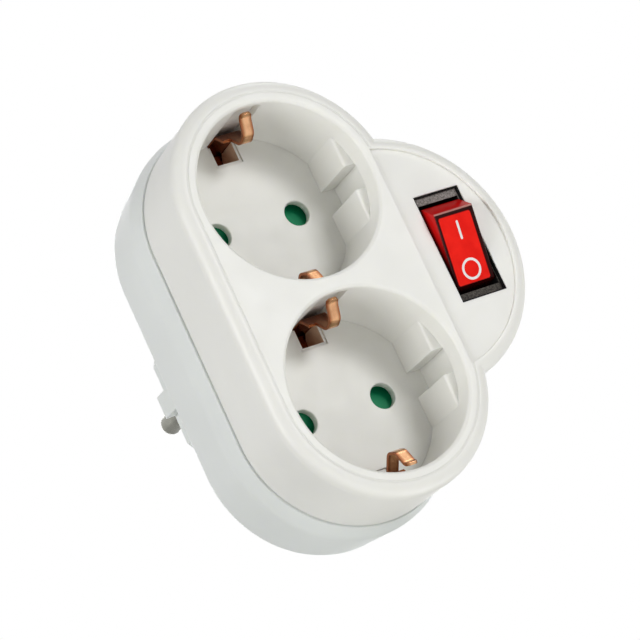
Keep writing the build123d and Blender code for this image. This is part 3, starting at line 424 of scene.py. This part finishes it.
def bezel_plastic():
    """Dark textured plastic, greyer on the sunk floor of the bezel, with painted light towards its upper end
    and painted shade towards its lower end.
    """
    material, tree, shader = new_material("bezel_plastic")
    deep = math_node(tree, "GREATER_THAN", depth_below(tree, BEZEL_FLOOR_DEPTH), 0.0)
    floor = math_node(tree, "MULTIPLY", deep, front_mask(tree))
    grain = noise(tree, scale=2600.0, detail=3.0, roughness=0.7)
    # Painted light and shade: the bezel floor grows lighter towards its upper end
    upper = step_up(tree, along_axis(tree, ORIGIN, UPWARD), *in_metres(BEZEL_LIGHT_FADE))
    grey = blend(tree, upper, ramp(tree, grain, BEZEL_SHADED_GREY), ramp(tree, grain, BEZEL_LIT_GREY))
    black = ramp(tree, grain, BEZEL_BLACK)
    tree.links.new(blend(tree, floor, black, grey), shader.inputs["Base Color"])
    shader.inputs["Roughness"].default_value = 0.5
    shader.inputs["Specular IOR Level"].default_value = 0.07
    bump(tree, shader, grain, 0.35, COARSE_RELIEF, edge_round=0.1)
    return material


def rocker_plastic():
    """Translucent red cap: bright over its diffuser plate and dark in the border, with a painted highlight
    along its raised end and painted shade on its sides towards its sunk end.
    """
    material, tree, shader = new_material("rocker_plastic")
    pivot, along, outward = rocker_axes()
    across = along_axis(tree, pivot + PLATE_SHIFT * MM * ACROSS, ACROSS)
    length = along_axis(tree, pivot, along)
    middle_length = math_node(tree, "SUBTRACT", length, (PLATE_TOP + PLATE_BOTTOM) / 2 * MM)
    height = along_axis(tree, pivot, outward)
    over_width = past(tree, across, PLATE_HALF_WIDTH - PLATE_CORNER)
    over_length = past(tree, middle_length, (PLATE_TOP - PLATE_BOTTOM) / 2 - PLATE_CORNER)
    squares = [math_node(tree, "POWER", over, 2.0) for over in (over_width, over_length)]
    from_corner = math_node(tree, "SQRT", math_node(tree, "ADD", *squares))
    edge_band = (PLATE_CORNER - PLATE_EDGE_INSIDE, PLATE_CORNER + PLATE_EDGE_OUTSIDE)
    border = step_up(tree, from_corner, *in_metres(edge_band))
    on_face = step_up(tree, height, *in_metres(ROCKER_FACE - skin for skin in FACE_SKIN))
    # Painted highlight along the raised end's edge
    rim = step_up(tree, length, *in_metres(ROCKER_TOP_HALF - band for band in HIGHLIGHT_BAND))
    plate = ramp(tree, noise(tree, scale=320.0, detail=4.0), ROCKER_RED)
    face = blend(tree, border, plate, blend(tree, rim, ROCKER_BORDER, ROCKER_PAINTED_HIGHLIGHT))
    # Painted shade on the sides, darker towards the sunk end
    raised = step_up(tree, length, *in_metres(SIDE_SHADE_FADE))
    sides = blend(tree, raised, ROCKER_SIDE_SHADE, ROCKER_SIDE_LIT)
    tree.links.new(blend(tree, on_face, sides, face), shader.inputs["Base Color"])
    on_plate = math_node(tree, "MULTIPLY", on_face, math_node(tree, "SUBTRACT", 1.0, border))
    satin = math_node(tree, "MULTIPLY", on_plate, PLATE_ADDED_ROUGHNESS)
    tree.links.new(math_node(tree, "ADD", satin, ROCKER_ROUGHNESS), shader.inputs["Roughness"])
    shader.inputs["IOR"].default_value = 1.49
    shader.inputs["Specular IOR Level"].default_value = 0.1
    bump(tree, shader, noise(tree, scale=700.0, detail=2.0), 0.05, FINE_RELIEF, edge_round=0.25)
    return material


def lamp_glass():
    """Thin lamp glass with a warm gas tint."""
    material, tree, shader = new_material("lamp_glass")
    streaks = noise(tree, scale=500.0, detail=2.0)
    tree.links.new(ramp(tree, streaks, LAMP_TINT), shader.inputs["Base Color"])
    shader.inputs["Roughness"].default_value = 0.05
    shader.inputs["Transmission Weight"].default_value = 0.85
    shader.inputs["IOR"].default_value = 1.47
    bump(tree, shader, streaks, 0.03, FINE_RELIEF)
    return material


materials = {
    "cover": moulded_plastic("cover_plastic", WHITE, roughness=0.40, grain=0.10, edge_round=0.2, depth=0.8),
    "base": moulded_plastic("base_plastic", COOL_SHADED_WHITE, roughness=0.44, grain=0.16, edge_round=0.35, depth=0.8),
    "pin_metal": strip_metal("nickel_plate", SHADED_NICKEL, shade(SHADED_NICKEL, 0.8), roughness=0.28, brushing=0.08),
    "copper": copper_strip(),
    "brass": strip_metal("brass_strip", BRASS, BRASS_TARNISH, roughness=0.30, brushing=0.12),
    "steel": strip_metal("zinc_plate", STEEL, shade(STEEL, 0.7), roughness=0.32, brushing=0.10),
    "shutter": moulded_plastic("shutter_plastic", SHUTTER_GREEN, roughness=0.42, grain=0.12, edge_round=0.15),
    "plate": moulded_plastic("plate_plastic", NATURAL, roughness=0.5, grain=0.15, edge_round=0.15),
    "switch_black": bezel_plastic(),
    "rocker_red": rocker_plastic(),
    "lamp_glass": lamp_glass(),
    "insulator": sleeve_plastic(),
    "resistor": moulded_plastic("resistor_lacquer", LACQUER, roughness=0.5, grain=0.2),
    "wire_brown": moulded_plastic("brown_insulation", WIRE_BROWN, roughness=0.45, grain=0.1),
    "wire_blue": moulded_plastic("blue_insulation", WIRE_BLUE, roughness=0.45, grain=0.1),
}
mark_print = moulded_plastic("mark_print", PRINT_WHITE, roughness=0.45, grain=0.1)

node_slots = {row["node"]: row["material_slot"] for row in frame["record"]["subparts"]}
for name, node in frame["nodes"].items():
    node.data.materials.clear()
    node.data.materials.append(materials[node_slots[name]])


# Marks on the rocker's face
def rocker_frame():
    """Matrix of the rocker's face at rest: x across, y along the face to its raised end, z out of it."""
    pivot, along, outward = rocker_axes()
    turn = Matrix((along.cross(outward), along, outward)).transposed().to_4x4()
    place = pivot + ROCKER_FACE * MM * outward + MARK_SHIFT * MM * ACROSS
    return Matrix.Translation(place) @ turn


def printed_band(name, inner, outer):
    """Low raised print between two closed outlines, or inside one, in millimetres on the rocker's face."""
    mesh = bmesh.new()

    def level(outline, height):
        return [mesh.verts.new(in_metres((x, y, height))) for x, y in outline]

    top = level(outer, MARK_HEIGHT)
    foot = level(outer, -MARK_HEIGHT)
    bands = [(foot, top)]
    if inner:
        hole_top = level(inner, MARK_HEIGHT)
        hole_foot = level(inner, -MARK_HEIGHT)
        bands += [(top, hole_top), (hole_top, hole_foot), (hole_foot, foot)]
    count = len(outer)
    for first, second in bands:
        for i in range(count):
            j = (i + 1) % count
            mesh.faces.new((first[i], first[j], second[j], second[i]))
    if not inner:
        mesh.faces.new(top)
        mesh.faces.new(foot[::-1])
    bmesh.ops.recalc_face_normals(mesh, faces=mesh.faces)
    data = bpy.data.meshes.new(name)
    mesh.to_mesh(data)
    mesh.free()
    data.materials.append(mark_print)
    piece = bpy.data.objects.new(name, data)
    bpy.context.scene.collection.objects.link(piece)
    piece.matrix_world = rocker_frame()
    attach(piece, "rocker")


def ring(radius, place):
    """Outline of a circle at a place along the face."""
    turns = [2 * math.pi * i / RING_POINTS for i in range(RING_POINTS)]
    return [(radius * math.cos(t), place + radius * math.sin(t)) for t in turns]


def bar(length, place):
    """Outline of a bar with round ends that runs along the face."""
    radius = MARK_STROKE / 2
    half = length / 2 - radius
    turns = [math.pi * i / BAR_END_STEPS for i in range(BAR_END_STEPS + 1)]
    upper = [(radius * math.cos(t), place + half + radius * math.sin(t)) for t in turns]
    lower = [(-x, 2 * place - y) for x, y in upper]
    return upper + lower


printed_band("mark_on", None, bar(LINE_MARK_LENGTH, LINE_MARK_PLACE))
printed_band("mark_off", ring(RING_MARK_RADIUS - MARK_STROKE / 2, RING_MARK_PLACE),
             ring(RING_MARK_RADIUS + MARK_STROKE / 2, RING_MARK_PLACE))


# Camera, floor, world and lamps
def make_camera():
    data = bpy.data.cameras.new("camera")
    data.sensor_width = SENSOR
    data.lens = FOCAL_PIXELS * SENSOR / IMAGE_PIXELS
    data.clip_start = CLIP_NEAR
    data.clip_end = CLIP_FAR
    camera = bpy.data.objects.new("camera", data)
    bpy.context.scene.collection.objects.link(camera)
    axes = (Vector(CAMERA_RIGHT), Vector(CAMERA_UP), -Vector(CAMERA_FORWARD))
    turn = Matrix(axes).transposed().to_4x4()
    camera.matrix_world = Matrix.Translation(Vector(CAMERA_PLACE) * MM) @ turn
    bpy.context.scene.camera = camera


def floor_paint():
    """Pale paint that is shown brighter outwards, into white, and takes the part's shadow.

    Shadow rays and the view from below pass through, because the photograph's camera and two lamps stand lower.
    """
    material, tree, shader = new_material("floor_paint")
    clouds = noise(tree, scale=3.0, detail=2.0)
    tone = ramp(tree, clouds, [(0.3, shade(FLOOR_TONE, 0.99)), (0.7, FLOOR_TONE)])
    tree.links.new(tone, shader.inputs["Base Color"])
    shader.inputs["Roughness"].default_value = 0.9
    shader.inputs["Specular IOR Level"].default_value = 0.1
    coordinates = tree.nodes.new("ShaderNodeTexCoord")
    distance = tree.nodes.new("ShaderNodeVectorMath")
    distance.operation = "LENGTH"
    tree.links.new(coordinates.outputs["Object"], distance.inputs[0])
    far = step_up(tree, distance.outputs["Value"], *FLOOR_FADE)
    shown = tree.nodes.new("ShaderNodeBsdfPrincipled")
    tree.links.new(blend(tree, far, *FLOOR_SHOWN), shown.inputs["Base Color"])
    shown.inputs["Roughness"].default_value = 0.9
    shown.inputs["Specular IOR Level"].default_value = 0.0
    shown.inputs["Emission Strength"].default_value = 1.0
    tree.links.new(blend(tree, far, *FLOOR_GLOW), shown.inputs["Emission Color"])
    paint = mix_shaders(tree, shown_ray(tree), shader.outputs["BSDF"], shown.outputs["BSDF"])
    clear = tree.nodes.new("ShaderNodeBsdfTransparent")
    geometry = tree.nodes.new("ShaderNodeNewGeometry")
    path = tree.nodes.new("ShaderNodeLightPath")
    passing = math_node(tree, "MAXIMUM", geometry.outputs["Backfacing"], path.outputs["Is Shadow Ray"])
    surface = mix_shaders(tree, passing, paint, clear.outputs["BSDF"])
    output = next(n for n in tree.nodes if n.type == "OUTPUT_MATERIAL")
    tree.links.new(surface, output.inputs["Surface"])
    return material


def make_floor():
    data = bpy.data.meshes.new("floor")
    corners = [(-1, -1), (1, -1), (1, 1), (-1, 1)]
    level = cad_box[0].z - FLOOR_GAP * MM
    data.from_pydata([(x * FLOOR_SIZE, y * FLOOR_SIZE, level) for x, y in corners], [], [(0, 1, 2, 3)])
    data.materials.append(floor_paint())
    floor = bpy.data.objects.new("floor", data)
    bpy.context.scene.collection.objects.link(floor)


def make_world():
    """Even white world: weak as a light, full white where it is shown."""
    world = bpy.data.worlds.new("studio")
    bpy.context.scene.world = world
    world.use_nodes = True
    tree = world.node_tree
    background = next(n for n in tree.nodes if n.type == "BACKGROUND")
    background.inputs["Color"].default_value = (1.0, 1.0, 1.0, 1.0)
    strength = tree.nodes.new("ShaderNodeMapRange")
    strength.inputs["To Min"].default_value = WORLD_LIGHT
    strength.inputs["To Max"].default_value = SHOWN_WHITE
    tree.links.new(shown_ray(tree), strength.inputs["Value"])
    tree.links.new(strength.outputs["Result"], background.inputs["Strength"])


def soft_light(name, place, size, power):
    """Square area light aimed at the middle of the part."""
    data = bpy.data.lights.new(name, "AREA")
    data.shape = "SQUARE"
    data.size = size
    data.energy = power
    light = bpy.data.objects.new(name, data)
    middle = (cad_box[0] + cad_box[1]) / 2
    light.location = middle + Vector(place)
    light.rotation_mode = "QUATERNION"
    light.rotation_quaternion = (-Vector(place)).to_track_quat("-Z", "Y")
    bpy.context.scene.collection.objects.link(light)


make_camera()
make_floor()
make_world()
for name, (place, size, power) in LAMPS.items():
    soft_light(name, place, size, power)

bpy.context.scene.view_settings.view_transform = "Standard"
